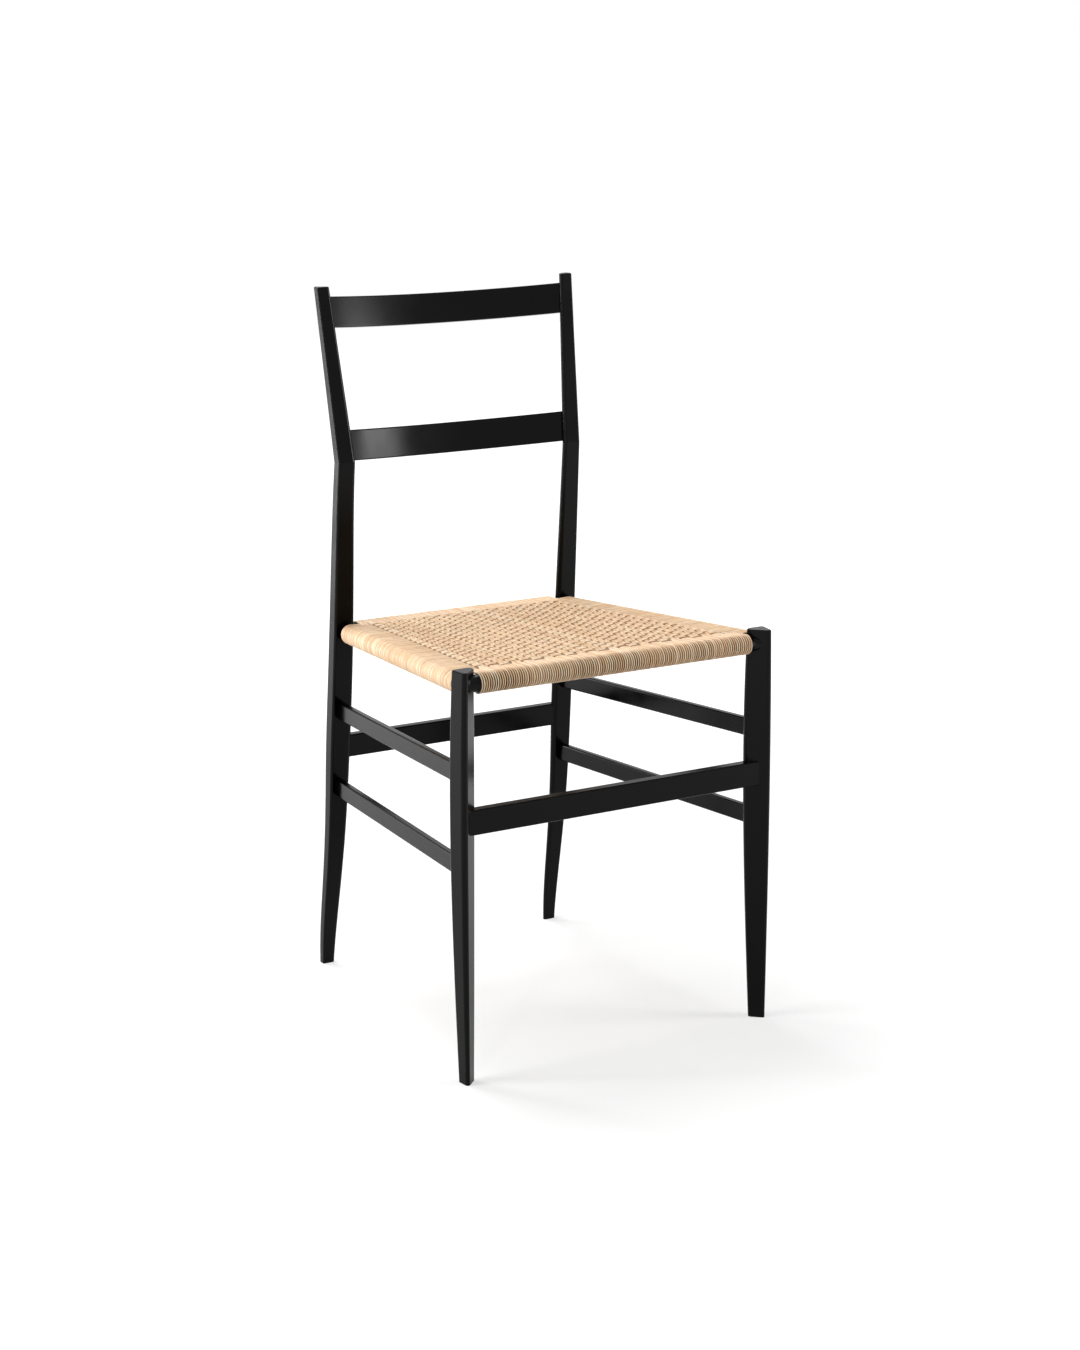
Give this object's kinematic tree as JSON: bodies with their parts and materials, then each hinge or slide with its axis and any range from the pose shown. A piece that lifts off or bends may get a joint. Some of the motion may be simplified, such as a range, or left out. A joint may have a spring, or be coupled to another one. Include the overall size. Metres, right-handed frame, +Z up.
{
  "type": "side chair",
  "caption": "Light black-lacquered wooden side chair with slim three-sided legs, a slatted ladder back and a woven cane seat.",
  "frame": {"origin": "on the floor, at the middle of the chair's footprint", "axes": "+Z up, the chair faces -Y, +X is to the right when looking along +Y, from the front to the back"},
  "size_m": [0.407, 0.4324, 0.83],
  "materials": {
    "black_lacquer": "satin black lacquer on ash",
    "cane": "natural round cane, wound and woven"
  },
  "bodies": {
    "root": {"front_leg_left": "black_lacquer", "front_leg_right": "black_lacquer", "rear_leg_left": "black_lacquer", "rear_leg_right": "black_lacquer", "back_slat_upper": "black_lacquer", "back_slat_lower": "black_lacquer", "seat_rail_front": "black_lacquer", "seat_rail_rear": "black_lacquer", "seat_rail_left": "black_lacquer", "seat_rail_right": "black_lacquer", "stretcher_front": "black_lacquer", "stretcher_rear": "black_lacquer", "stretcher_upper_left": "black_lacquer", "stretcher_upper_right": "black_lacquer", "stretcher_lower_left": "black_lacquer", "stretcher_lower_right": "black_lacquer", "seat_wrap_front": "cane", "seat_wrap_rear": "cane", "seat_wrap_left": "cane", "seat_wrap_right": "cane", "woven_seat_panel": "cane"}
  },
  "joints": []
}
